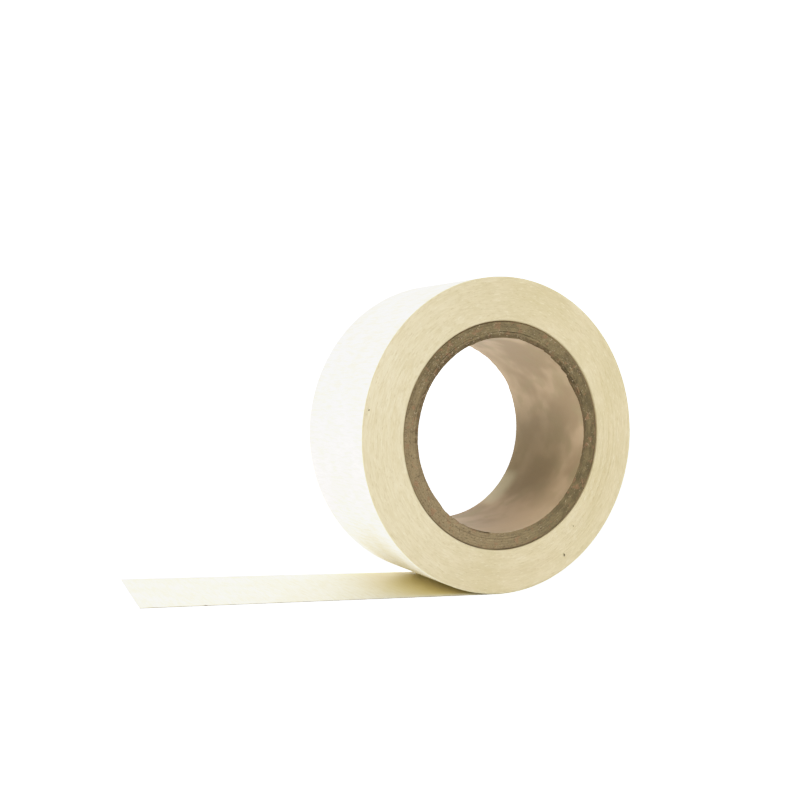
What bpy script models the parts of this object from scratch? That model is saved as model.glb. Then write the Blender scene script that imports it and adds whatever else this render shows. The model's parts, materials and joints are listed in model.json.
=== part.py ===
"""Roll of masking tape: a spiral-wound board core, the tape wound on it, and its loose end lying flat.

Run it with: blender --background --python part.py
Metres, +Z up. The roll's axis runs along Y and its loose end runs towards -X. The origin lies on the
surface that the tape rests on, in the middle of the tape's width, straight below the roll's axis.
Angles round the roll are measured from that lowest line, turning towards +X and then up.
"""

import math

import bpy

# The tape, as wound and as slit
ROLL_RADIUS = 0.062
TAPE_WIDTH = 0.050
TAPE_THICKNESS = 0.00012

# The core, from the bore outwards: a smooth liner, plies of board and a thin wrapping ply
BORE_RADIUS = 0.0382
LINER_THICKNESS = 0.0004
BOARD_THICKNESS = 0.00088
BOARD_PLIES = 6
WRAP_THICKNESS = 0.0004
GLUE_LINE = 0.00005
CORE_INSET = 0.0003

# The loose end, from the lowest line of the roll to its cut edge, and how far that runs out of square.
# It bends as a chain of short flats, each as wide as the one that the roll stands on.
LOOSE_LENGTH = 0.1355
CUT_SKEW = 0.0042
TAIL_PIECES = 16

# Room between pieces that are folded on each other, and under the last turn
FOLD_GAP = 0.0002
LAY_GAP = 0.0002

# How many flats a round outline has, and the edges that stay sharp where it is shaded smooth
STATIONS = 96
SHARP_ANGLE = math.radians(30)

# Sizes that follow from the ones above. Wound on, each flat of the loose end touches the roll's round
# at its middle, so the fold between two of them is the angle that one flat takes up of the roll.
FLAT_WIDTH = LOOSE_LENGTH / (TAIL_PIECES + 0.5)
MIDLINE_RADIUS = ROLL_RADIUS - TAPE_THICKNESS / 2
FLAT_ANGLE = 2 * math.atan(FLAT_WIDTH / 2 / MIDLINE_RADIUS)
STATION_ANGLE = 2 * math.pi / STATIONS
CORE_WIDTH = TAPE_WIDTH - 2 * CORE_INSET
UNDER_LAST_TURN = TAPE_THICKNESS + LAY_GAP

TAPE_COLOUR = (0.86, 0.78, 0.58, 1)
EDGE_COLOUR = (0.80, 0.71, 0.50, 1)
LINER_COLOUR = (0.52, 0.40, 0.29, 1)
BOARD_COLOUR = (0.30, 0.23, 0.15, 1)
WRAP_COLOUR = (0.36, 0.28, 0.19, 1)


def clear_scene():
    for obj in list(bpy.data.objects):
        bpy.data.objects.remove(obj)


def paper_material(name, colour, roughness):
    """A dull, non-metallic finish."""
    material = bpy.data.materials.new(name)
    material.use_nodes = True
    shader = material.node_tree.nodes["Principled BSDF"]
    shader.inputs["Base Color"].default_value = colour
    shader.inputs["Roughness"].default_value = roughness
    shader.inputs["Metallic"].default_value = 0.0
    material.diffuse_color = colour
    return material


def add_object(name, mesh, parent, location=(0, 0, 0)):
    """An object placed in its parent's frame. With no mesh it is an empty."""
    obj = bpy.data.objects.new(name, mesh)
    bpy.context.scene.collection.objects.link(obj)
    obj.parent = parent
    obj.location = location
    return obj


def closed_mesh(name, points, faces, material):
    mesh = bpy.data.meshes.new(name)
    mesh.from_pydata(points, [], faces)
    mesh.materials.append(material)
    return mesh


def strip_mesh(name, start, length, material, skew=0.0):
    """A flat strip of tape, from x = start towards -X, across the full width, its middle plane at z = 0.

    skew slants the far end: it reaches further at -Y and less far at +Y.
    """
    half_width = TAPE_WIDTH / 2
    half_thickness = TAPE_THICKNESS / 2
    outline = [
        (start, half_width),
        (start - length + skew / 2, half_width),
        (start - length - skew / 2, -half_width),
        (start, -half_width),
    ]
    points = [(x, y, z) for z in (-half_thickness, half_thickness) for x, y in outline]
    count = len(outline)
    sides = [(i, (i + 1) % count, count + (i + 1) % count, count + i) for i in range(count)]
    faces = [tuple(reversed(range(count))), tuple(range(count, 2 * count)), *sides]
    return closed_mesh(name, points, faces, material)


def ring_mesh(name, outer, inner, width, material):
    """A closed ring round the Y axis, from matching outer and inner outlines of (x, z) points."""
    count = len(outer)
    points = [(x, y, z) for y in (-width / 2, width / 2) for x, z in outer + inner]
    outer_near, inner_near, outer_far, inner_far = (n * count for n in range(4))
    faces = []
    for i in range(count):
        j = (i + 1) % count
        faces.append((outer_near + i, outer_near + j, inner_near + j, inner_near + i))
        faces.append((outer_far + j, outer_far + i, inner_far + i, inner_far + j))
        faces.append((outer_near + j, outer_near + i, outer_far + i, outer_far + j))
        faces.append((inner_near + i, inner_near + j, inner_far + j, inner_far + i))
    mesh = closed_mesh(name, points, faces, material)
    mesh.shade_smooth()
    mesh.set_sharp_from_angle(angle=SHARP_ANGLE)
    return mesh


def around(angle, radius):
    """The (x, z) of a point round the roll's axis."""
    return radius * math.sin(angle), -radius * math.cos(angle)


def round_outline(radius, angles):
    """A circle with a corner at each station. A point between two stations lies on the flat there."""
    points = []
    for angle in angles:
        past_middle = angle % STATION_ANGLE - STATION_ANGLE / 2
        on_flat = radius * math.cos(STATION_ANGLE / 2) / math.cos(past_middle)
        points.append(around(angle, on_flat))
    return points


def wound_outline(angles, step_angle):
    """The outside of the wound tape, which steps in where the last turn leaves it.

    The last turn starts at step_angle. From there it sinks evenly to the level of the turn below, and it
    is at that level all along the stretch that the loose end can wind on to.
    """
    wound_on = (TAIL_PIECES + 1.5) * FLAT_ANGLE
    sinking = 2 * math.pi - wound_on - step_angle
    points = []
    for angle in angles:
        past_step = (angle - step_angle) % (2 * math.pi)
        depth = UNDER_LAST_TURN * min(1, past_step / sinking)
        points.append(around(angle, ROLL_RADIUS - depth))
    return points


def build_core(roll_axis):
    """The plies of the core, each a tube round the one before. Returns the radius that the tape starts at."""
    liner = paper_material("core_liner_paper", LINER_COLOUR, 0.75)
    board = paper_material("core_board", BOARD_COLOUR, 0.95)
    wrap = paper_material("core_wrap_paper", WRAP_COLOUR, 0.9)
    plies = [("core_liner", LINER_THICKNESS, liner)]
    plies += [(f"core_board_ply_{n}", BOARD_THICKNESS, board) for n in range(1, BOARD_PLIES + 1)]
    plies += [("core_wrap_ply", WRAP_THICKNESS, wrap)]
    angles = [number * STATION_ANGLE for number in range(STATIONS)]
    radius = BORE_RADIUS
    for name, thickness, material in plies:
        outer = round_outline(radius + thickness, angles)
        inner = round_outline(radius, angles)
        add_object(name, ring_mesh(name, outer, inner, CORE_WIDTH, material), roll_axis)
        radius += thickness + GLUE_LINE
    return radius


def build_wound_tape(roll_axis, start_radius, material):
    """All the turns that stay on the roll, as one body. The step's two corners share one angle, nearly."""
    step_angle = math.atan((FLAT_WIDTH / 2 + FOLD_GAP) / MIDLINE_RADIUS)
    foot_angle = math.atan((FLAT_WIDTH / 2 + FOLD_GAP / 2) / MIDLINE_RADIUS)
    stations = [number * STATION_ANGLE for number in range(STATIONS)]
    angles = sorted([*stations, foot_angle, step_angle])
    outer = wound_outline(angles, step_angle)
    inner = round_outline(start_radius, angles)
    add_object("wound_tape", ring_mesh("wound_tape", outer, inner, TAPE_WIDTH, material), roll_axis)


def build_loose_end(material):
    """The flat that the roll stands on, and the tail hinged to it as a chain of flats.

    Each flat's origin is on the fold that it turns about, at the middle of the tape's thickness.
    """
    reach = FLAT_WIDTH - FOLD_GAP
    name = "tape_under_roll"
    mesh = strip_mesh(name, reach / 2, reach, material)
    before = add_object(name, mesh, None, (0, 0, TAPE_THICKNESS / 2))
    flat = strip_mesh("tape_tail", -FOLD_GAP / 2, reach, material)
    cut = strip_mesh("tape_tail_end", -FOLD_GAP / 2, FLAT_WIDTH - FOLD_GAP / 2, material, CUT_SKEW)
    fold = -FLAT_WIDTH / 2
    for number in range(1, TAIL_PIECES + 1):
        mesh = cut if number == TAIL_PIECES else flat
        before = add_object(f"tape_tail_{number}", mesh, before, (fold, 0, 0))
        fold = -FLAT_WIDTH


def main():
    clear_scene()
    tape = paper_material("crepe_tape", TAPE_COLOUR, 0.7)
    edges = paper_material("wound_edges", EDGE_COLOUR, 0.8)
    roll_axis = add_object("roll_axis", None, None, (0, 0, ROLL_RADIUS))
    start_radius = build_core(roll_axis)
    build_wound_tape(roll_axis, start_radius, edges)
    build_loose_end(tape)


main()
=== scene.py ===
import json

import bpy
import numpy as np
from mathutils import Matrix, Vector


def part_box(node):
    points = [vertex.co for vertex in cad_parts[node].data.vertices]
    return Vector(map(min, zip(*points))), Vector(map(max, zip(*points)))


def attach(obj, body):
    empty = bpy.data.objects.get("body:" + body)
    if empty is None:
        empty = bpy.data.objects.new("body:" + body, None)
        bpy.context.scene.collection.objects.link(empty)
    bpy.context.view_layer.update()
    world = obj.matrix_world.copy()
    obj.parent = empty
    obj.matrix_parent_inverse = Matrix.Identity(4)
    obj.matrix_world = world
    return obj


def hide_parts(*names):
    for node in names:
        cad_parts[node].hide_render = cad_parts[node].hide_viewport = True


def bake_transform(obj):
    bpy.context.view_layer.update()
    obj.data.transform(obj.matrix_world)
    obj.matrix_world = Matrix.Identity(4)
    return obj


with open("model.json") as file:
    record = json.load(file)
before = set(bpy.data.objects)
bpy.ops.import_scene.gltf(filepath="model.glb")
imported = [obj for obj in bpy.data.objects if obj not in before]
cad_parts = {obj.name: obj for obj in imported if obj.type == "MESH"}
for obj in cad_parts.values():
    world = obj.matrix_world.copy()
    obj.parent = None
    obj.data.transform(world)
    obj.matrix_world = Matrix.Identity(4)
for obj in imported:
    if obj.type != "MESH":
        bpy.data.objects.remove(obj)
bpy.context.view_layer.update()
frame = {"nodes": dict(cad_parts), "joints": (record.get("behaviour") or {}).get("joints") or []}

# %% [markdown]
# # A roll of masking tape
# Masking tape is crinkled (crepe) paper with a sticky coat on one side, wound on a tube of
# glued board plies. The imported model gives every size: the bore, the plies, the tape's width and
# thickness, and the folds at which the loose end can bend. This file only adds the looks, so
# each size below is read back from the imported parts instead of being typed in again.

MM = 0.001
TURN = 2 * np.pi


def node_points(name):
    """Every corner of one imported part, as rows of x, y and z."""
    mesh = frame["nodes"][name].data
    points = np.empty(len(mesh.vertices) * 3, np.float32)
    mesh.vertices.foreach_get("co", points)
    return points.reshape(-1, 3).astype(float)


# %% Sizes of the roll
liner_low, liner_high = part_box("core_liner")
AXIS_HEIGHT = (liner_low.z + liner_high.z) / 2


def ring_radii(name):
    """Inner and outer radius of a ring-shaped part about the roll's axis."""
    points = node_points(name)
    radius = np.hypot(points[:, 0], points[:, 2] - AXIS_HEIGHT)
    return radius.min(), radius.max()


strip_low, strip_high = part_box("tape_under_roll")
TAPE_WIDTH = strip_high.y - strip_low.y
TAPE_THICKNESS = strip_high.z - strip_low.z
CORE_HALF_WIDTH = (liner_high.y - liner_low.y) / 2
WOUND_RADIUS = AXIS_HEIGHT
WOUND_START_RADIUS = ring_radii("wound_tape")[0]
print(f"roll {2 * WOUND_RADIUS / MM:.0f} mm across, tape {TAPE_WIDTH / MM:.0f} mm wide")

# %% Folds of the loose end
folds = {joint["child"]: joint["pos_m"][0] for joint in frame["joints"]}
TAIL_COUNT = len(folds)
FLAT = folds["tail_1"] - folds["tail_2"]
TAIL_STARTS = [folds[f"tail_{k}"] + FLAT / 2 for k in range(1, TAIL_COUNT + 1)]
print(f"{TAIL_COUNT} stretches of loose tape, {FLAT / MM:.2f} mm each")

# %% [markdown]
# ## Unevenness from a lattice
# Paper, glue and board are never even, but the unevenness has a scale and a direction: crepe
# ridges are short along the tape and long across it. A lattice of seeded random heights, joined
# by smooth steps, gives that in one array expression, comes out the same at every run, and
# repeats after a whole number of cells, so it closes round a ring.

# %% Smooth steps and lattice noise


def ease(x):
    """0 below 0, 1 above 1, and 3x^2 - 2x^3 between."""
    x = np.clip(x, 0, 1)
    return x * x * (3 - 2 * x)


def lattice(u, v, cells, seed):
    """Smooth noise from -1 to 1: u and v count lattice cells, and the pattern repeats after
    cells[0] by cells[1] of them. Each value is the eased blend of its cell's four corners."""
    heights = np.random.default_rng(seed).uniform(-1, 1, cells)
    u, v = np.broadcast_arrays(np.asarray(u, float), np.asarray(v, float))
    iu, iv = np.floor(u).astype(int), np.floor(v).astype(int)
    fu, fv = ease(u - iu), ease(v - iv)
    near = heights[iu % cells[0], iv % cells[1]] * (1 - fu)
    near += heights[(iu + 1) % cells[0], iv % cells[1]] * fu
    far = heights[iu % cells[0], (iv + 1) % cells[1]] * (1 - fu)
    far += heights[(iu + 1) % cells[0], (iv + 1) % cells[1]] * fu
    return near * (1 - fv) + far * fv


def noise_round(angle, cells, seed):
    """Lattice noise along the angle alone, with this many cells to a full turn."""
    return lattice(angle / TURN * cells, 0, (cells, 2), seed)


def arc_window(angle, centre, half, soft):
    """1 within half of the centre, easing to 0 over soft beyond it. The angle is in radians,
    and the other three are in degrees."""
    centre, half, soft = np.radians([centre, half, soft])
    away = np.abs((angle - centre + np.pi) % TURN - np.pi)
    return 1 - ease((away - half) / soft)


def add_arcs(angle, *arcs):
    """The sum of windows round the axis, each given as its height and its three degrees."""
    return sum(height * arc_window(angle, *degrees) for height, *degrees in arcs)


sample = lattice(*np.mgrid[0:9:0.1, 0:9:0.1], (9, 9), 1)
print(f"lattice noise from {sample.min():.2f} to {sample.max():.2f}")

# %% [markdown]
# ## Solids from rings of points
# Almost everything here is a section carried along a path: tape along a spiral, a ply round the
# axis. So one helper takes an array of sections, joins neighbouring points with quads, and
# either closes the path on itself or caps both ends. The caps are ladders of quads between the
# two faces of the strip, because one long thin polygon would triangulate badly. A strip's
# section runs along its face, over one edge, back along its other side, and over the other edge.

# %% Places, and which way is out


def around(radius, angle, y):
    """Points at a radius and an angle about the roll's axis; angle 0 is +X and a quarter turn
    is straight up."""
    radius, angle, y = np.broadcast_arrays(radius, angle, y)
    return np.stack([radius * np.cos(angle), y, AXIS_HEIGHT + radius * np.sin(angle)], -1)


def outward(points, quads):
    """The quads turned so that the solid's signed volume, the sum of a . (b x c) / 6 over its
    triangles, is positive."""
    a, b, c, d = (points[quads[:, i]] for i in range(4))
    volume = np.einsum("ij,ij->i", a, np.cross(b, c) + np.cross(c, d)).sum()
    return quads if volume > 0 else quads[:, ::-1]


def there_and_back(*sides):
    """Columns across a strip's face, then the same ones in reverse for its other side."""
    return np.stack([np.hstack([side, side[:, ::-1]]) for side in np.broadcast_arrays(*sides)], -1)


def sides_of(columns, face, back, rim):
    """The finish of each quad round a strip's section: face, one edge, back, other edge."""
    return np.repeat([face, rim, back, rim], [columns - 1, 1, columns - 1, 1])


# %% Arrays to solids
CREASE = np.radians(35)  # an edge sharper than this stays crisp


def add_object(name, data):
    """A new object at the origin that shows this mesh, camera or light."""
    made = bpy.data.objects.new(name, data)
    bpy.context.scene.collection.objects.link(made)
    return made


def solid(name, points, quads, materials, finish, flat_map):
    """A smooth mesh object from arrays, with flat_map as a UV map in metres."""
    mesh = bpy.data.meshes.new(name)
    mesh.vertices.add(len(points))
    mesh.vertices.foreach_set("co", points.astype(np.float32).ravel())
    mesh.loops.add(quads.size)
    mesh.loops.foreach_set("vertex_index", quads.astype(np.int32).ravel())
    mesh.polygons.add(len(quads))
    mesh.polygons.foreach_set("loop_start", np.arange(0, quads.size, 4, dtype=np.int32))
    for material in materials:
        mesh.materials.append(material)
    mesh.polygons.foreach_set("material_index", finish.astype(np.int32))
    if flat_map is not None:
        layer = mesh.uv_layers.new(name="metres")
        layer.uv.foreach_set("vector", flat_map.reshape(-1, 2)[quads].astype(np.float32).ravel())
    mesh.update(calc_edges=True)
    mesh.validate()
    mesh.shade_smooth()
    mesh.set_sharp_from_angle(angle=CREASE)
    return add_object(name, mesh)


def loft(name, sections, closed, materials, section_finish=None, flat_map=None):
    """A solid through sections[i, j], the j-th point of the i-th section. Its quads take the
    finish section_finish[j], its caps the last one, and flat_map[i, j] is in metres."""
    count, around_count = sections.shape[:2]
    i = np.arange(count if closed else count - 1)[:, None]
    j = np.arange(around_count)[None, :]
    i_next, j_next = (i + 1) % count, (j + 1) % around_count
    corners = [i * around_count + j, i_next * around_count + j,
               i_next * around_count + j_next, i * around_count + j_next]
    quads = np.stack(np.broadcast_arrays(*corners), -1).reshape(-1, 4)
    finish = np.zeros(around_count, int) if section_finish is None else section_finish
    finish = np.tile(finish, len(i))
    if not closed:
        k = np.arange(around_count // 2 - 1)
        rung = np.stack([k, k + 1, around_count - 2 - k, around_count - 1 - k], -1)
        quads = np.concatenate([quads, rung, rung[:, ::-1] + (count - 1) * around_count])
        finish = np.concatenate([finish, np.full(2 * len(k), len(materials) - 1)])
    points = sections.reshape(-1, 3)
    return solid(name, points, outward(points, quads), materials, finish, flat_map)


def stand_for(piece, slot, *nodes, body=None):
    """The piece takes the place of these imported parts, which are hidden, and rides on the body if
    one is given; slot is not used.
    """
    if body:
        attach(piece, body)
    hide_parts(*nodes)


# %% [markdown]
# ## Shader sums that read like sums
# A finish is mostly arithmetic on masks. Wrapping a socket in a small class lets `1 - mask` or
# `mask * 0.3` add the Math nodes by themselves. Colours never go through Math nodes, which
# would turn them grey: they go through Mix.

# %% Colours and sums


def paint(red, green, blue):
    """Screen values from 0 to 255 as the linear colour that a shader works in."""
    screen = np.array([red, green, blue]) / 255
    linear = np.where(screen > 0.04045, ((screen + 0.055) / 1.055) ** 2.4, screen / 12.92)
    return (*map(float, linear), 1.0)


class Value:
    """A socket that adds, subtracts and multiplies as a number does."""

    def __init__(self, finish, socket):
        self.finish, self.socket = finish, socket

    def __add__(self, other):
        return self.finish.math("ADD", self, other)

    def __sub__(self, other):
        return self.finish.math("SUBTRACT", self, other)

    def __rsub__(self, other):
        return self.finish.math("SUBTRACT", other, self)

    def __mul__(self, other):
        return self.finish.math("MULTIPLY", self, other)

    __radd__, __rmul__ = __add__, __mul__


# %% A finish, and one that runs round the axis
class Finish:
    """One material, built by calls that each add a node and hand back its output."""

    def __init__(self, name, **uniform):
        self.material = bpy.data.materials.new(name)
        self.material.use_nodes = True
        self.tree = self.material.node_tree
        self.shader = self.tree.nodes["Principled BSDF"]
        for socket, value in uniform.items():
            self.shader.inputs[socket.replace("_", " ")].default_value = value

    def node(self, kind, sockets, output=0, **settings):
        """A node of this kind: its settings first, then its sockets' values or links."""
        node = self.tree.nodes.new(kind)
        for setting, value in settings.items():
            setattr(node, setting, value)
        for socket, value in sockets.items():
            self.feed(node.inputs[socket], value)
        return Value(self, node.outputs[output])

    def feed(self, socket, value):
        """Links a Value to the socket, or writes a plain value into it."""
        if isinstance(value, Value):
            self.tree.links.new(value.socket, socket)
        else:
            socket.default_value = value

    def math(self, operation, a, b):
        """A Math node on two numbers."""
        return self.node("ShaderNodeMath", {0: a, 1: b}, operation=operation)

    def vector(self, operation, a, b=(0, 0, 0), output=0):
        """A Vector Math node on two vectors; a length or a dot product is its "Value" output."""
        return self.node("ShaderNodeVectorMath", {0: a, 1: b}, output, operation=operation)

    def mix(self, factor, a, b):
        """Colour a where the factor is 0 and colour b where it is 1."""
        return self.node("ShaderNodeMix", {0: factor, 6: a, 7: b}, 2, data_type="RGBA")

    def step(self, value, low, high):
        """0 where value is under low, 1 over high, eased between; low above high falls."""
        return self.node("ShaderNodeMapRange",
                         {"Value": value, "From Min": low, "From Max": high},
                         interpolation_type="SMOOTHSTEP")

    def noise(self, vector, detail=2.0, roughness=0.5, distortion=0.0):
        """Noise about 0.5, with cells one unit wide in the vector."""
        return self.node("ShaderNodeTexNoise",
                         {"Vector": vector, "Scale": 1.0, "Detail": detail,
                          "Roughness": roughness, "Distortion": distortion})

    def grain(self, cell):
        """Noise on the piece's own place in space, its cells about this many metres wide."""
        place = self.node("ShaderNodeTexCoord", {}, "Object")
        return self.vector("MULTIPLY", place, (1 / cell,) * 3)

    def on_sheet(self, along, across):
        """The metre map of a strip, counted in cells of this length and width."""
        place = self.node("ShaderNodeUVMap", {}, uv_map="metres")
        return self.vector("MULTIPLY", place, (1 / along, 1 / across, 0))

    def bump(self, height, distance, strength=1.0):
        """A normal tilted as if a height of 1 stood this many metres proud."""
        return self.node("ShaderNodeBump",
                         {"Height": height, "Distance": distance, "Strength": strength})

    def surface(self, **links):
        """Links the shader's inputs, and hands back the finished material."""
        for socket, value in links.items():
            self.feed(self.shader.inputs[socket.replace("_", " ")], value)
        print(f"finish {self.material.name}: {len(self.tree.nodes)} nodes")
        return self.material


class RingFinish(Finish):
    """A finish whose pattern runs round the roll's axis."""

    def __init__(self, name, **uniform):
        super().__init__(name, **uniform)
        place = self.node("ShaderNodeTexCoord", {}, "Object")
        flat = self.vector("MULTIPLY", place, (1, 0, 1))
        self.spoke = self.vector("SUBTRACT", flat, (0, 0, AXIS_HEIGHT))
        self.radius = self.vector("LENGTH", self.spoke, output="Value")
        self.direction = self.vector("NORMALIZE", self.spoke)

    def rings(self, round_cells, out_cell, shift=0.0):
        """A place on a cylinder: round_cells sets how many cells lie round a turn (about six
        times it), and out_cell is a cell's size along the radius."""
        circle = self.vector("MULTIPLY", self.direction, (round_cells,) * 3)
        height = self.radius * (1 / out_cell) + shift
        rise = self.node("ShaderNodeCombineXYZ", {"Y": height})
        return self.vector("ADD", circle, rise)


# %% [markdown]
# ## The wound edges
# The side of the roll is not a surface of its own: it is the cut edge of one strip, seen about
# 140 times over. Each turn is paper with a yellower line of adhesive against the next, and the
# slitting knife leaves some turns a hair proud. So the colour changes with the radius in fine
# rings that fade in and out along the turn, over slow blotches where the tape lay damper or
# tighter. Painted light makes the half towards the left lamp paler, a painted highlight draws a
# thin light rim on the outermost turns, and painted shade browns the first turns by the core.

# %% Finish of the wound edges
edge = RingFinish("wound_tape_edge", IOR=1.46)
fine_rings = edge.noise(edge.rings(6, 0.42 * MM), detail=3, roughness=0.7)
ring_groups = edge.noise(edge.rings(9, 1.3 * MM, shift=40), detail=2, distortion=0.6)
dashes = edge.noise(edge.rings(26, 0.55 * MM, shift=90), detail=2, roughness=0.6, distortion=0.5)
blotches = edge.noise(edge.grain(19 * MM), detail=3)
fibres = edge.noise(edge.grain(0.16 * MM), detail=2, roughness=0.7)

body = edge.mix(edge.step(blotches, 0.32, 0.68), paint(217, 202, 158), paint(226, 211, 171))
# Painted light: the half that faces the lamp on the left is mixed paler.
lamp_lit_half = edge.vector("DOT_PRODUCT", edge.direction, (-1, 0, 0.1), output="Value")
body = edge.mix(edge.step(lamp_lit_half, -0.1, 1.0) * 0.55, body, paint(236, 224, 190))
body = edge.mix(edge.step(fine_rings, 0.56, 0.30) * 0.24, body, paint(198, 180, 128))
body = edge.mix(edge.step(ring_groups, 0.58, 0.40) * 0.26, body, paint(204, 188, 138))
body = edge.mix(edge.step(dashes, 0.56, 0.72) * 0.50, body, paint(241, 231, 200))
body = edge.mix(edge.step(dashes, 0.44, 0.28) * 0.45, body, paint(194, 175, 124))
RIM_HIGHLIGHT_FROM, RIM_HIGHLIGHT_TO = 0.75 * MM, 0.2 * MM  # how far in from the outside the painted highlight of the rim fades in
# Painted highlight: the outermost turns are mixed towards a pale cream.
rim = edge.step(edge.radius, WOUND_RADIUS - RIM_HIGHLIGHT_FROM, WOUND_RADIUS - RIM_HIGHLIGHT_TO)
body = edge.mix(rim * 0.8, body, paint(244, 238, 196))
CORE_SHADE_REACH = 0.5 * MM  # how far out from the core the painted shade reaches
# Painted shade: the turns next to the core are mixed browner where the tape meets the core.
by_core = edge.step(edge.radius, WOUND_START_RADIUS + CORE_SHADE_REACH, WOUND_START_RADIUS)
body = edge.mix(by_core * 0.7, body, paint(168, 150, 110))
relief = fine_rings * 0.6 + dashes * 0.25 + fibres * 0.25
WOUND_EDGE = edge.surface(
    Base_Color=body,
    Roughness=edge.step(fine_rings, 0.3, 0.7) * 0.18 + 0.55,
    Normal=edge.bump(relief, 0.03 * MM, 0.7),
)

# %% [markdown]
# ## Crepe paper
# The backing is soft paper crinkled on a drum, so its ridges run across the tape, about two to
# the millimetre, with painted shade in the grooves between them. The other side carries the
# adhesive: the same ridges under a smooth, slightly yellow coat, with faint streaks along the
# tape where the coating roller passed. Near the roll, away from the front edge, the coat has a
# painted shadow of the roll, tinted yellow as a painted reflection from the roll. All of this
# reads a map in metres laid along the strip, so that it stays on the tape where the tape bends.

# %% Finishes of the two sides of the tape
ROLL_SHADOW_ALONG = (-58, -18)  # where the painted shadow of the roll fades in, in millimetres along the strip
ROLL_SHADOW_ACROSS = (-24.8, -19)  # and across it, so that the front edge stays out of the painted shadow


def crepe_finish(name, pale, deep, roughness, coat_streaks, roll_shadow):
    """Ridges across the strip darken the grooves with painted shade; coat_streaks adds the marks of
    a coat, and roll_shadow is how strongly the painted shadow of the roll, tinted yellow as a
    painted reflection, lies on the coat near the roll."""
    crepe = Finish(name, IOR=1.46)
    ridges = crepe.noise(crepe.on_sheet(0.42 * MM, 5 * MM), detail=3, roughness=0.6, distortion=0.5)
    wrinkles = crepe.noise(crepe.on_sheet(1.3 * MM, 9 * MM), detail=2)
    fibre = crepe.noise(crepe.on_sheet(0.11 * MM, 0.13 * MM), detail=2, roughness=0.7)
    cloud = crepe.noise(crepe.on_sheet(17 * MM, 14 * MM), detail=3)
    streaks = crepe.noise(crepe.on_sheet(60 * MM, 0.8 * MM), detail=2)
    colour = crepe.mix(crepe.step(cloud, 0.35, 0.65) * 0.35, pale, deep)
    # Painted shade: the grooves between the ridges, and the hollows of the wrinkles, are mixed
    # towards the deep colour.
    colour = crepe.mix(crepe.step(ridges, 0.56, 0.34) * 0.60, colour, deep)
    colour = crepe.mix(crepe.step(wrinkles, 0.54, 0.36) * 0.50, colour, deep)
    colour = crepe.mix(crepe.step(fibre, 0.62, 0.80) * 0.35, colour, paint(250, 248, 240))
    colour = crepe.mix(crepe.step(streaks, 0.55, 0.72) * coat_streaks, colour, deep)
    place = crepe.on_sheet(MM, MM)
    along = crepe.node("ShaderNodeSeparateXYZ", {0: place}, "X")
    across = crepe.node("ShaderNodeSeparateXYZ", {0: place}, "Y")
    # Painted shadow of the roll, tinted yellow as a painted reflection: near the roll and away from
    # the front edge, the coat is mixed towards a darker olive cream.
    roll_shadow_mask = crepe.step(along, *ROLL_SHADOW_ALONG) * crepe.step(across, *ROLL_SHADOW_ACROSS)
    colour = crepe.mix(roll_shadow_mask * roll_shadow, colour, paint(223, 204, 131))
    height = ridges * 0.7 + wrinkles * 0.5 + fibre * 0.15
    return crepe.surface(
        Base_Color=colour,
        Roughness=crepe.step(ridges, 0.3, 0.7) * 0.12 + roughness,
        Normal=crepe.bump(height, 0.05 * MM, 0.8),
    )


BACKING = crepe_finish("crepe_backing", paint(252, 250, 244), paint(233, 225, 198),
                       roughness=0.66, coat_streaks=0.05, roll_shadow=0.0)
ADHESIVE = crepe_finish("adhesive_side", paint(251, 247, 226), paint(232, 223, 183),
                        roughness=0.42, coat_streaks=0.30, roll_shadow=0.90)

# %% Finish of the single cut edge of the loose end
cut = Finish("loose_tape_edge", IOR=1.46)
dust_and_shade = cut.noise(cut.on_sheet(2.2 * MM, 2.2 * MM), detail=3)
# The edges are painted dark brown, partly as dust and partly as painted shade along the tape's
# edges.
cut_colour = cut.mix(cut.step(dust_and_shade, 0.35, 0.65), paint(74, 64, 28), paint(106, 92, 48))
CUT_EDGE = cut.surface(
    Base_Color=cut_colour,
    Roughness=cut.step(dust_and_shade, 0.3, 0.7) * 0.2 + 0.5,
    Normal=cut.bump(dust_and_shade, 0.02 * MM),
)

# %% [markdown]
# ## Core board
# The tube is wound from strips of grey-brown recycled board. Its sawn end shows the plies as
# rings with faint lines of glue between them, fibres dragged along by the saw, warm stains and
# pale flecks of reused paper. Painted shade darkens it beside the bore, and painted light makes
# it lighter at the top and bottom and palest low on the left. The bore is lined with one
# smoother, pinkish paper.

# %% Finish of the board
ply_low, ply_high = ring_radii("core_board_ply_1")
second_ply_low = ring_radii("core_board_ply_2")[0]
PLY_PITCH = second_ply_low - ply_low
BORE_SHADE = (1.3 * MM, 0.4 * MM)  # how far into the board the painted shade beside the bore fades in
board = RingFinish("core_board", IOR=1.45)
drag = board.noise(board.rings(80, 0.30 * MM), detail=3, roughness=0.65)
tone = board.noise(board.rings(9, 2.2 * MM, shift=15), detail=3)
pulp = board.noise(board.grain(0.75 * MM), detail=4, roughness=0.7)
stains = board.noise(board.grain(2.4 * MM), detail=2, distortion=0.8)
flecks = board.noise(board.grain(1.2 * MM), detail=2, distortion=1.2)
rise = board.vector("DOT_PRODUCT", board.direction, (0, 0, 1), output="Value")
LOW_LEFT = (-0.74, 0, -0.67)  # the way from the axis to the strongest painted light on the end
low_left = board.vector("DOT_PRODUCT", board.direction, LOW_LEFT, output="Value")
shade = board.mix(board.step(tone, 0.34, 0.66), paint(94, 82, 52), paint(118, 103, 69))
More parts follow.
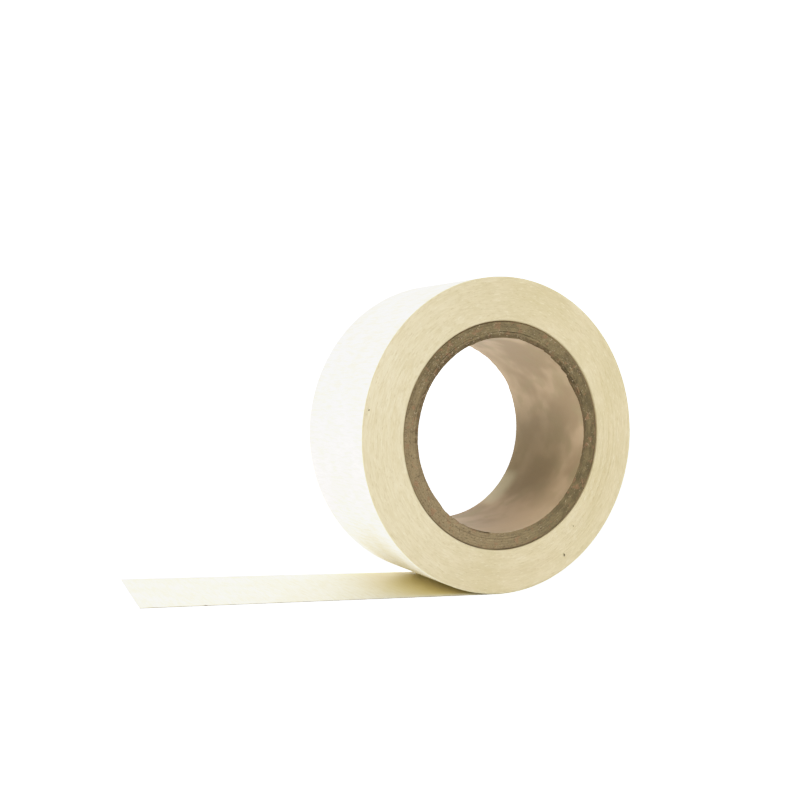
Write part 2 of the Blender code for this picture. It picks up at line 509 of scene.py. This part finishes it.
# Painted light: the end is mixed lighter at the top and bottom, and palest low on the left.
shade = board.mix(board.step(rise * rise, 0.2, 1.0) * 0.36, shade, paint(144, 129, 94))
shade = board.mix(board.step(low_left, -0.1, 1.0) * 0.60, shade, paint(157, 137, 103))
shade = board.mix(board.step(drag, 0.50, 0.34) * 0.35, shade, paint(86, 72, 46))
shade = board.mix(board.step(drag, 0.60, 0.74) * 0.35, shade, paint(164, 146, 112))
shade = board.mix(board.step(pulp, 0.47, 0.33) * 0.70, shade, paint(80, 66, 42))
shade = board.mix(board.step(pulp, 0.58, 0.72) * 0.40, shade, paint(160, 142, 108))
shade = board.mix(board.step(stains, 0.57, 0.68) * 0.55, shade, paint(142, 106, 76))
shade = board.mix(board.step(flecks, 0.66, 0.73) * 0.50, shade, paint(194, 176, 142))
# Painted shade: the board is mixed darker beside the bore, except low down.
by_bore = board.step(board.radius, *(ply_low + depth for depth in BORE_SHADE))
shade = board.mix(by_bore * board.step(rise, -0.55, 0.2) * 0.55, shade, paint(84, 68, 42))
place_in_ply = board.math("FRACT", (board.radius - ply_low) * (1 / PLY_PITCH), 0)
glue = board.step(board.math("PINGPONG", place_in_ply, 0.5), 0.13, 0.03)
shade = board.mix(glue * board.step(tone, 0.58, 0.42) * 0.18, shade, paint(76, 60, 40))
CORE_BOARD = board.surface(
    Base_Color=shade,
    Roughness=board.step(pulp, 0.3, 0.7) * 0.15 + 0.8,
    Normal=board.bump(drag * 0.5 + pulp * 0.6, 0.12 * MM, 0.8),
)

# %% Finish of the bore's lining and of the wrapping ply


def core_paper(name, light, dark, stain_and_shade):
    """Paper glued to the core: grain along its strip, soft damp stains and fine specks.
    Hands back what papered() takes."""
    paper = RingFinish(name, IOR=1.45)
    grain = paper.noise(paper.on_sheet(2.5 * MM, 0.4 * MM), detail=3, roughness=0.6)
    damp = paper.noise(paper.grain(17 * MM), detail=2)
    mottle = paper.noise(paper.grain(7 * MM), detail=2)
    specks = paper.noise(paper.on_sheet(0.35 * MM, 0.3 * MM), detail=1)
    colour = paper.mix(paper.step(damp, 0.36, 0.62), light, dark)
    colour = paper.mix(paper.step(mottle, 0.48, 0.68) * 0.45, colour, stain_and_shade)
    colour = paper.mix(paper.step(grain, 0.55, 0.32) * 0.16, colour, dark)
    colour = paper.mix(paper.step(specks, 0.72, 0.80) * 0.35, colour, paint(96, 76, 54))
    height = grain * 0.4 + mottle * 0.5 + specks * 0.15
    return paper, colour, paper.bump(height, 0.06 * MM, 0.6), grain


def papered(paper, colour, bump, grain):
    """The core paper's material, in this colour."""
    return paper.surface(Base_Color=colour, Normal=bump,
                         Roughness=paper.step(grain, 0.3, 0.7) * 0.12 + 0.62)


WRAP = papered(*core_paper(
    "core_wrap_paper", paint(132, 112, 80), paint(108, 90, 64), paint(100, 88, 58)))

# %% Stains, painted shade and painted light on the lining
# Each is a way from the axis times a stretch of the core's width, in millimetres from its middle.
lining, colour, bump, grain = core_paper(
    "bore_liner_paper", paint(183, 158, 125), paint(154, 132, 100), paint(150, 136, 99))
across_core = lining.node("ShaderNodeSeparateXYZ", {0: lining.on_sheet(MM, MM)}, "Y")


def toward(degrees):
    """1 on the wall that lies this way from the axis, falling to -1 on the opposite wall."""
    way = (np.cos(np.radians(degrees)), 0, np.sin(np.radians(degrees)))
    return lining.vector("DOT_PRODUCT", lining.direction, way, output="Value")


# Painted shade: the right wall of the bore, back from the front end, is mixed darker.
stain_and_shade = lining.step(toward(-14), 0.72, 1.0) * lining.step(across_core, -20, -6)
colour = lining.mix(stain_and_shade * 0.60, colour, paint(120, 105, 72))
# Painted light: the bottom of the bore near the front end is mixed lighter.
low_front_light = lining.step(toward(-84), 0.45, 1.0) * lining.step(across_core, 6, -19)
colour = lining.mix(low_front_light * 0.75, colour, paint(212, 185, 148))
unglued = lining.step(toward(-41), 0.955, 0.99) * lining.step(across_core, 12, 19)
colour = lining.mix(unglued * 0.60, colour, paint(190, 180, 146))
LINER = papered(lining, colour, bump, grain)

# %% [markdown]
# ## The wound tape
# The roll is one strip on a spiral whose radius falls by one pitch each turn. A rectangle the
# size of the tape's cross-section is carried along that spiral, and its two long edges shift a
# few hundredths of a millimetre from turn to turn, which is what draws the rings on the side.
# The outermost turn is a piece of its own, so that it can carry a finer mesh for its crepe. It
# lies a little deeper where it goes in, which leaves room for the loose end when it is wound on.

# %% The spiral
STRIP_GAP = 0.005 * MM  # air between neighbouring turns
SETTLE = 0.18 * MM  # how far the tape settles inwards over its first stretch
SETTLE_TURNS = 0.7
BOTTOM = -np.pi / 2  # the angle at which the loose end leaves the roll


def mid_radius(travel):
    """Radius of the strip's middle after this much turning, in radians, from the bottom: it
    falls one tape thickness a turn, and settles a little more over the first stretch."""
    turns = travel / TURN
    settled = SETTLE * ease(turns / SETTLE_TURNS)
    return WOUND_RADIUS - TAPE_THICKNESS * (0.5 + turns) - settled


def edge_shift(travel, side):
    """How far an edge of the strip lies outside its nominal line: a slow drift over some nine
    turns, a quick one from turn to turn, and a few turns that stand proud for part of a lap."""
    turns = travel / TURN
    drift = lattice(turns / 9, turns * 3, (40, 3), 11 + side)
    quick = lattice(turns / 1.1, turns * 5, (170, 5), 21 + side)
    proud = ease((lattice(turns / 1.7, turns * 4, (120, 4), 31 + side) - 0.35) / 0.5)
    return (0.05 * drift + 0.028 * quick + 0.07 * proud) * MM


def strip_edges(travel):
    """Where the strip's front edge and its back edge lie along the axis."""
    return -TAPE_WIDTH / 2 - edge_shift(travel, 0), TAPE_WIDTH / 2 + edge_shift(travel, 1)


def strip_columns(travel, share):
    """Places across the strip: share 0 is its front edge, and 1 is its back edge."""
    front, back = strip_edges(travel)
    return front + (back - front) * share


def crepe(along, across):
    """Height of the crepe ridges, short along the tape and long across it."""
    ridges = lattice(along / (0.5 * MM), across / (6 * MM), (1201, 23), 41)
    ripples = lattice(along / (1.9 * MM), across / (11 * MM), (307, 13), 42)
    return (0.011 * ridges + 0.009 * ripples) * MM


# %% Wound turns
STEPS_PER_TURN = 160
last_turn = (WOUND_RADIUS - SETTLE - WOUND_START_RADIUS) / TAPE_THICKNESS - 1
travel = TURN * np.arange(1, last_turn, 1 / STEPS_PER_TURN)
mid = mid_radius(travel)
half = (TAPE_THICKNESS - STRIP_GAP) / 2
front, back = strip_edges(travel)
wound = loft(
    "wound_turns",
    around(mid[:, None] + half * np.array([1, 1, -1, -1]), (BOTTOM + travel)[:, None],
           np.stack([front, back, back, front], -1)),
    False, [WOUND_EDGE])
stand_for(wound, "wound_edges", "wound_tape", body="roll")
wound_length = mid.sum() * TURN / STEPS_PER_TURN
print(f"{travel[-1] / TURN - 1:.1f} turns, {wound_length:.1f} m of tape wound on")

# %% Outermost turn
OUTER_STEPS, OUTER_COLUMNS = 2400, 14
travel = np.linspace(0, TURN, OUTER_STEPS + 1)[:, None]
across = strip_columns(travel, np.linspace(0, 1, OUTER_COLUMNS))
along = travel * WOUND_RADIUS
outside = around(mid_radius(travel) + half + crepe(along, across), BOTTOM + travel, across)
inside = around(mid_radius(travel) - half, BOTTOM + travel, across[:, ::-1])
outer = loft("outer_turn", np.hstack([outside, inside]), False, [BACKING, ADHESIVE, WOUND_EDGE],
             sides_of(OUTER_COLUMNS, 0, 1, 2), there_and_back(along, across))
stand_for(outer, "crepe_tape", "tape_under_roll", body="roll")
print(f"outer turn: {len(outer.data.polygons)} faces")

# %% [markdown]
# ## The loose end
# The end pulled off the roll lies flat, backing down and adhesive up, to its slanted cut. The
# imported part bends at folds when the tape is wound back on, and this end is made in the same
# short stretches as that part. Neighbours share their end lines exactly, and the ridges come
# from the same function as on the roll, so no join shows.

# %% Columns across the loose tape, and the line of its cut
STRETCH_COLUMNS = 26
EDGE_BURR = 0.09 * MM  # how far the slitting knife has turned up the tape's edges
BURR_SHARE = 0.006  # how wide that is, as a share of the tape's width
inner_share = np.linspace(0.02, 0.98, STRETCH_COLUMNS - 4)
share = np.concatenate([[0, BURR_SHARE], inner_share, [1 - BURR_SHARE, 1]])
burr = np.where(np.abs(share - 0.5) == 0.5, EDGE_BURR, 0)[:, None] * [0, 0, 1]
last = node_points(f"tape_tail_{TAIL_COUNT}")
cut_front = last[last[:, 1] < 0, 0].min()
cut_back = last[last[:, 1] > 0, 0].min()


def end_line(k, across):
    """x of the far end of stretch k: a straight fold line, or the slanted cut on the last."""
    if k < TAIL_COUNT:
        return np.full_like(across, TAIL_STARTS[k - 1] - FLAT)
    nick = 0.06 * MM * lattice(across / (0.8 * MM), 0, (97, 2), 51)
    return cut_front + (cut_back - cut_front) * (across / TAPE_WIDTH + 0.5) + nick


print(f"the cut runs {(cut_back - cut_front) / MM:.1f} mm out of square")

# %% Stretches of loose tape
STRETCH_STEPS = 56
step = np.linspace(0, 1, STRETCH_STEPS + 1)[:, None]
for k in range(1, TAIL_COUNT + 1):
    start = TAIL_STARTS[k - 1]
    level = strip_columns(start / WOUND_RADIUS, share) * np.ones_like(step)
    x = start + step * (end_line(k, level) - start)
    across = strip_columns(x / WOUND_RADIUS, share)
    sheet = np.stack([x, across, TAPE_THICKNESS / 2 + crepe(x, across)], -1)
    under, over = sheet - [0, 0, half], (sheet + burr)[:, ::-1] + [0, 0, half]
    stretch = loft(f"loose_end_{k}", np.hstack([under, over]), False,
                   [BACKING, ADHESIVE, CUT_EDGE],
                   sides_of(STRETCH_COLUMNS, 0, 1, 2), there_and_back(x, across))
    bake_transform(stretch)
    stand_for(stretch, "crepe_tape", f"tape_tail_{k}")
print(f"loose end {-cut_front / MM:.1f} mm long at the front")

# %% [markdown]
# ## The core
# Each ply is a ring with its own section: a front end face, the inner wall, the back end face
# and the outer wall. The end faces have enough points to be really rough. On the sawn front end
# the lining is torn back at the upper right and low on the left, and the two innermost plies
# lean a little into the bore in three places, by amounts that vary with the angle.

# %% Damage at the ends of the core
SPLIT_PLIES = 2
SPLIT_DEPTH = 3.2 * MM  # how far in from the end a split reaches
# Each arc is a size in millimetres, then its centre, half width and softness in degrees.
SPLITS = ((0.14, 140, 20, 26), (0.24, 86, 9, 12), (0.10, 255, 25, 20))
TEARS = ((1.9, 48, 20, 16), (0.30, 150, 42, 14), (2.8, 244, 16, 4))


def split_inwards(angle, depth):
    """How far the split inner plies lean into the bore, at an angle and a depth from the
    front end."""
    ragged = 1 + 0.45 * noise_round(angle, 60, 61)
    return add_arcs(angle, *SPLITS) * ragged * MM * ease(1 - depth / SPLIT_DEPTH)


def torn_back(angle):
    """How far the lining is torn back from the front end: a little all round, more along the
    left, and deep and jagged at the upper right and low on the left."""
    jag = 0.5 + 0.5 * noise_round(angle, 110, 62)
    nibble = 0.5 + 0.5 * noise_round(angle, 420, 63)
    return (0.12 + 0.16 * nibble + add_arcs(angle, *TEARS) * (0.35 + 0.65 * jag)) * MM


print(f"tears up to {torn_back(np.linspace(0, TURN, 999)).max() / MM:.1f} mm deep in the lining")

# %% Lining of the bore
SEAM_SLOPE = np.radians(31)  # angle of the lining's butt seam to a lap of the bore
SEAM_GAP = 0.15 * MM
SEAM_ANGLE = np.radians(176)  # where the seam crosses the middle of the core's width
CURL, CURL_REACH = 0.12 * MM, 2 * MM  # how far the seam's edges lift, and from how far away
LINER_STEPS, LINER_COLUMNS = 900, 44
bore, liner_out = ring_radii("core_liner")
lap = np.linspace(SEAM_GAP / 2 / bore, TURN - SEAM_GAP / 2 / bore, LINER_STEPS + 1)[:, None]
share = 0.5 - 0.5 * np.cos(np.pi * np.linspace(0, 1, LINER_COLUMNS))
end_angle = SEAM_ANGLE + lap - CORE_HALF_WIDTH / (bore * np.tan(SEAM_SLOPE))
y_front = -CORE_HALF_WIDTH + torn_back(end_angle)
y_back = CORE_HALF_WIDTH - 0.5 * torn_back(end_angle + 2.0)  # half as deep, and elsewhere
y = y_front + (y_back - y_front) * share
angle = SEAM_ANGLE + lap + y / (bore * np.tan(SEAM_SLOPE))
lean = split_inwards(angle, y + CORE_HALF_WIDTH)
wave = 0.05 * MM * lattice(angle / TURN * 23, y / (9 * MM), (23, 7), 64)
curl = CURL * ease(1 - np.minimum(lap, TURN - lap) * bore / CURL_REACH)
shown = around(bore - lean + wave - curl, angle, y)
# The glued side is hidden, so it takes the same lean and wave without turning them round.
glued = around(liner_out - lean + wave, angle[:, ::-1], y[:, ::-1])
liner = loft("bore_liner", np.hstack([shown, glued]), False, [LINER, CORE_BOARD],
             sides_of(LINER_COLUMNS, 0, 0, 1), there_and_back(lap * bore, y))
stand_for(liner, "core_liner_paper", "core_liner", body="roll")
print(f"bore {2 * bore / MM:.1f} mm across")

# %% Section of a ply
PLY_STEPS, END_COLUMNS, WALL_COLUMNS = 1200, 6, 12
end_share = np.linspace(0, 1, END_COLUMNS)
# Columns along the walls crowd towards both ends, where the plies bend.
wall_share = 0.5 - 0.5 * np.cos(np.pi * np.linspace(0, 1, WALL_COLUMNS))[1:-1]
through = np.concatenate([end_share[::-1], 0 * wall_share, end_share, 0 * wall_share + 1])
width_share = np.concatenate(
    [0 * end_share, wall_share, 0 * end_share + 1, wall_share[::-1]]) * 2 - 1
angle = np.linspace(0, TURN, PLY_STEPS, endpoint=False)[:, None]


def saw_marks(angle, radius):
    """Depth of the rough sawn end under its highest points: pulled fibres on shallow waves."""
    pulled = lattice(angle / TURN * 520, radius / (0.26 * MM), (520, 300), 71)
    waves = lattice(angle / TURN * 110, radius / (1.1 * MM), (110, 90), 72)
    return (0.060 * (1 + pulled) + 0.11 * (1 + waves)) * MM


print(f"{len(through)} points round a ply's section, {PLY_STEPS} sections round the axis")

# %% One ply
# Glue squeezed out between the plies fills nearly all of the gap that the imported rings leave.
GLUE_FILL = 0.9 * (second_ply_low - ply_high)
BORDER_DROP = 0.06 * MM  # how far a ply's borders lie under its middle, which draws a faint line
PLY_LEVEL = 0.04 * MM  # how unevenly one ply stands against the next


def ply_ring(name, node, material, seed, split, sunk, rough=1.0):
    """One ply as a closed ring: sections of end face, inner wall, end face and outer wall."""
    inner, outer = ring_radii(node)
    outer += GLUE_FILL
    radius = inner + (outer - inner) * through
    border = BORDER_DROP * (np.abs(2 * through - 1) ** 6)
    depth = saw_marks(angle, radius) * rough + border
    level = PLY_LEVEL * (1 + noise_round(angle, 9, seed)) + sunk
    at_end = np.abs(width_share) == 1
    inset = np.where(at_end, depth + level, 0)
    y = width_share * CORE_HALF_WIDTH - np.sign(width_share) * inset
    shift = split_inwards(angle, y + CORE_HALF_WIDTH) if split else 0
    metres = np.stack(np.broadcast_arrays(angle * inner, y), -1)
    return loft(name, around(radius - shift, angle, y), True, [material], flat_map=metres)


# %% Board plies and wrapping ply
TORN_SHARE = {1: 1.0, 2: 0.4}  # how much of the tear reaches each of the innermost plies
left = arc_window(angle, 150, 40, 14)
upper_right = arc_window(angle, 50, 22, 12)
top = arc_window(angle, 98, 20, 30)
notches = ease(0.5 + 0.9 * noise_round(angle, 150, 66))
torn = (0.10 + 0.9 * upper_right * notches + 0.5 * left * notches) * MM
for k in range(1, 7):
    ring = ply_ring(f"board_ply_{k}", f"core_board_ply_{k}", CORE_BOARD, 72 + 5 * k,
                    split=k <= SPLIT_PLIES, sunk=TORN_SHARE.get(k, 0) * torn)
    stand_for(ring, "core_board", f"core_board_ply_{k}", body="roll")
wrap = ply_ring("wrap_ply", "core_wrap_ply", WRAP, 122, split=False,
                sunk=(0.1 + 0.45 * top) * MM, rough=0.5)
stand_for(wrap, "core_wrap_paper", "core_wrap_ply", body="roll")
print(f"six board plies, {PLY_PITCH / MM:.2f} mm apart")

# %% [markdown]
# ## Loose fibres and specks
# A saw lifts fibres and flakes of paper from the board, and the sticky sides of a roll pick up
# dust. These are small, so each is a leaf of only eight faces: a flat bent lozenge, placed by
# arrays and joined into one mesh. They are more crowded in the torn arcs than elsewhere.

# %% Leaves


def leaves(name, centre, long_way, out, length, width, thick, material):
    """A flat lozenge at each centre: length along long_way, width across it, and thick along
    out. The points are two tips, two flanks, a crown and a base."""
    side = np.cross(out, long_way)
    reach = [long_way * length[:, None] / 2, side * width[:, None] / 2, out * thick[:, None]]
    points = np.stack([centre - reach[0] + reach[2], centre + reach[1], centre + reach[0],
                       centre - reach[1], centre + reach[2], centre - reach[2] * 0.5], 1)
    leaf = np.array([[0, 3, 4], [3, 2, 4], [2, 1, 4], [1, 0, 4],
                     [3, 0, 5], [2, 3, 5], [1, 2, 5], [0, 1, 5]])
    faces = (leaf + 6 * np.arange(len(centre))[:, None, None]).reshape(-1, 3)
    mesh = bpy.data.meshes.new(name)
    mesh.from_pydata(points.reshape(-1, 3), [], faces.tolist())
    mesh.materials.append(material)
    mesh.shade_smooth()
    return add_object(name, mesh)


# %% Finish of the fibres
fibre_finish = Finish("pulled_fibres", IOR=1.45)
pale = fibre_finish.noise(fibre_finish.grain(1.5 * MM), detail=1)
fibre_colour = fibre_finish.mix(
    fibre_finish.step(pale, 0.4, 0.6), paint(120, 102, 76), paint(198, 178, 148))
FIBRE = fibre_finish.surface(
    Base_Color=fibre_colour,
    Roughness=fibre_finish.step(pale, 0.3, 0.7) * 0.1 + 0.8,
)

# %% Fibres on the sawn end
FIBRES = 420
UPPER_LEFT, UPPER_RIGHT = (2.3, 0.45), (0.75, 0.3)  # middle and spread of the torn arcs, radians
# Each fibre runs round the core, give or take some 20 degrees, and lies just under the end.
rng = np.random.default_rng(7)
angle = rng.uniform(0, TURN, FIBRES)
busy = np.concatenate([
    rng.normal(*UPPER_LEFT, FIBRES // 2), rng.normal(*UPPER_RIGHT, FIBRES // 6)])
angle[:len(busy)] = busy
radius = rng.uniform(ply_low, ring_radii("core_board_ply_6")[1] - 0.3 * MM, FIBRES)
tilt = rng.normal(0, 0.35, FIBRES)
centre = around(radius, angle, -CORE_HALF_WIDTH + rng.uniform(0.05, 0.25, FIBRES) * MM)
rising = 0.12 * rng.normal(0, 1, FIBRES)
tangent = np.stack([-np.sin(angle + tilt), rising, np.cos(angle + tilt)], -1)
tangent /= np.linalg.norm(tangent, axis=1)[:, None]
front_way = np.tile([0.0, -1.0, 0.0], (FIBRES, 1))
front_way -= tangent * np.einsum("ij,ij->i", front_way, tangent)[:, None]
fibres_piece = leaves("core_end_fibres", centre, tangent, front_way,
                      rng.uniform(0.35, 1.3, FIBRES) * MM, rng.uniform(0.07, 0.26, FIBRES) * MM,
                      rng.uniform(0.03, 0.09, FIBRES) * MM, FIBRE)
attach(fibres_piece, "roll")
print(f"{FIBRES} fibres and flakes")

# %% Finish of the dust
speck = Finish("dust_speck", IOR=1.45)
speck_tone = speck.noise(speck.grain(0.3 * MM), detail=1)
speck_colour = speck.mix(speck.step(speck_tone, 0.4, 0.6), paint(70, 62, 46), paint(104, 94, 72))
SPECK = speck.surface(
    Base_Color=speck_colour,
    Roughness=speck.step(speck_tone, 0.3, 0.7) * 0.1 + 0.8,
)

# %% Specks on the side of the roll
# Each row is an angle in degrees and a radius in millimetres, then length and width.
FACE_SPECKS = np.array([
    [173.4, 59.8, 0.8, 0.6], [303.9, 56.8, 1.5, 0.9], [314.9, 50.0, 0.8, 0.5]])
SPECK_THICKNESS = 0.1 * MM
SPECK_SLANT = 0.6  # radians between a speck's length and the way round the roll
degrees, speck_radius, length, width = FACE_SPECKS.T
turned = np.radians(degrees)
face_centres = around(speck_radius * MM, turned, -TAPE_WIDTH / 2 - SPECK_THICKNESS)
slant = np.stack([np.sin(turned + SPECK_SLANT), 0 * turned, np.cos(turned + SPECK_SLANT)], -1)
face_specks = leaves("face_specks", face_centres, slant, np.tile([0.0, -1.0, 0.0], (len(slant), 1)),
                     length * MM, width * MM, np.full(len(slant), SPECK_THICKNESS), SPECK)
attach(face_specks, "roll")
print(f"{len(slant)} specks on the side")

# %% Speck on the loose end
SPECK_X, SPECK_INSET, SPECK_LIFT = -115.4 * MM, 0.7 * MM, 0.01 * MM
SPECK_SIZE = np.array([1.5, 1.1, 0.06]) * MM  # length, width and thickness
on_stretch = sum(place > SPECK_X for place in folds.values())  # the folds nearer the roll
tail_centre = np.array([[SPECK_X, -TAPE_WIDTH / 2 + SPECK_INSET, TAPE_THICKNESS + SPECK_LIFT]])
tail_speck = leaves("tail_speck", tail_centre, np.array([[1.0, 0.0, 0.0]]),
                    np.array([[0.0, 0.0, 1.0]]), *SPECK_SIZE[:, None], SPECK)
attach(tail_speck, f"tail_{on_stretch}")
print(f"one speck on stretch {on_stretch} of the loose end")

# %% [markdown]
# ## Floor, light and camera
# The roll stands on a pale sweep in bright, even light, with a broad lamp at the left that
# washes out the outer turn. The floor glows a little, as a light table does, so its shadows
# stay faint. The camera is low, about level with the roll's middle, turned a little off the
# axis, and tilted by a few degrees.

# %% Camera
AZIMUTH, ELEVATION, TILT = np.radians([-27.22, -0.16, 3.49])
CAMERA_PLACE = (-0.2148, -0.3512, 0.0722)
backward = Vector((np.sin(AZIMUTH) * np.cos(ELEVATION), -np.cos(AZIMUTH) * np.cos(ELEVATION),
                   np.sin(ELEVATION)))
right = Vector((np.cos(AZIMUTH), np.sin(AZIMUTH), 0))
upward = backward.cross(right)
turned_right = right * np.cos(TILT) + upward * np.sin(TILT)
turned_up = upward * np.cos(TILT) - right * np.sin(TILT)
camera = add_object("camera", bpy.data.cameras.new("camera"))
camera.data.lens, camera.data.sensor_width = 44.85, 36  # millimetres
axes = Matrix((turned_right, turned_up, backward)).transposed()
camera.matrix_world = Matrix.Translation(CAMERA_PLACE) @ axes.to_4x4()
bpy.context.scene.camera = camera
print(f"camera {Vector(CAMERA_PLACE).length:.2f} m from the foot of the roll")

# %% Floor, backdrop and ambient light
FLOOR_DROP = 0.03 * MM  # keeps the floor just clear of the tape that lies on it
FLOOR_HALF, BACKDROP_HALF, BACKDROP_AWAY = 8, 3, 6  # metres


def pale_sheet(name, corners, grey, glow):
    """A flat stage sheet through four corners, part pale paint and part light box."""
    mesh = bpy.data.meshes.new(name)
    mesh.from_pydata(corners, [], [(0, 1, 2, 3)])
    finish = Finish(name, Base_Color=(grey, grey, grey, 1), Roughness=0.9,
                    Emission_Color=(1, 1, 1, 1), Emission_Strength=glow)
    mesh.materials.append(finish.material)
    add_object(name, mesh)


square = [(-1, -1), (1, -1), (1, 1), (-1, 1)]
floor_corners = [(FLOOR_HALF * x, FLOOR_HALF * y, -FLOOR_DROP) for x, y in square]
pale_sheet("floor", floor_corners, grey=0.42, glow=1.22)
behind = camera.location - backward * BACKDROP_AWAY
backdrop_corners = [
    behind + right * BACKDROP_HALF * x + Vector((0, 0, BACKDROP_HALF * z)) for x, z in square]
pale_sheet("backdrop", backdrop_corners, grey=0.5, glow=1.6)

world = bpy.data.worlds.new("studio")
world.use_nodes = True
ambient = world.node_tree.nodes["Background"]
ambient.inputs["Color"].default_value = (1, 1, 1, 1)
ambient.inputs["Strength"].default_value = 0.45
bpy.context.scene.world = world
print(f"floor {2 * FLOOR_HALF} m wide, backdrop {BACKDROP_AWAY} m from the camera")

# %% Lamps


def lamp(name, place, target, size, watts):
    """A square soft lamp at a place, facing a target."""
    light = bpy.data.lights.new(name, "AREA")
    light.shape, light.size, light.energy = "SQUARE", size, watts
    holder = add_object(name, light)
    holder.location = place
    holder.rotation_mode = "QUATERNION"
    holder.rotation_quaternion = (Vector(target) - Vector(place)).to_track_quat("-Z", "Y")
    print(f"{name}: {size} m, {watts} W")


middle = (0, 0, AXIS_HEIGHT)
lamp("broad_lamp_left", (-0.80, -0.17, 0.32), middle, size=0.6, watts=2.7)
lamp("overhead_lamp", (0.2, 0.35, 1.3), middle, size=1.1, watts=13)

# %% [markdown]
# ## Film response
# Brightness up to about 0.7 is kept as it is. Above that each colour is pressed together, so
# that bright cream paper turns almost white while the backdrop still burns out completely.

# %% Film response
FILM_WHITE = 1.4  # the brightness that is shown as full white
SHOULDER = ((0.70, 0.70), (0.95, 0.87), (1.10, 0.925), (1.26, 0.945))  # brightness, then shown
film = bpy.context.scene.view_settings
film.view_transform = "Standard"
film.use_curve_mapping = True
film.curve_mapping.white_level = (FILM_WHITE,) * 3
all_colours = film.curve_mapping.curves[3]
for brightness, display in SHOULDER:
    all_colours.points.new(brightness / FILM_WHITE, display)
film.curve_mapping.update()
print(f"film curve with {len(all_colours.points)} points")

# %% [markdown]
# ## Last update
# The scene is brought up to date once more at the end.

# %% Last update of the scene
bpy.context.view_layer.update()
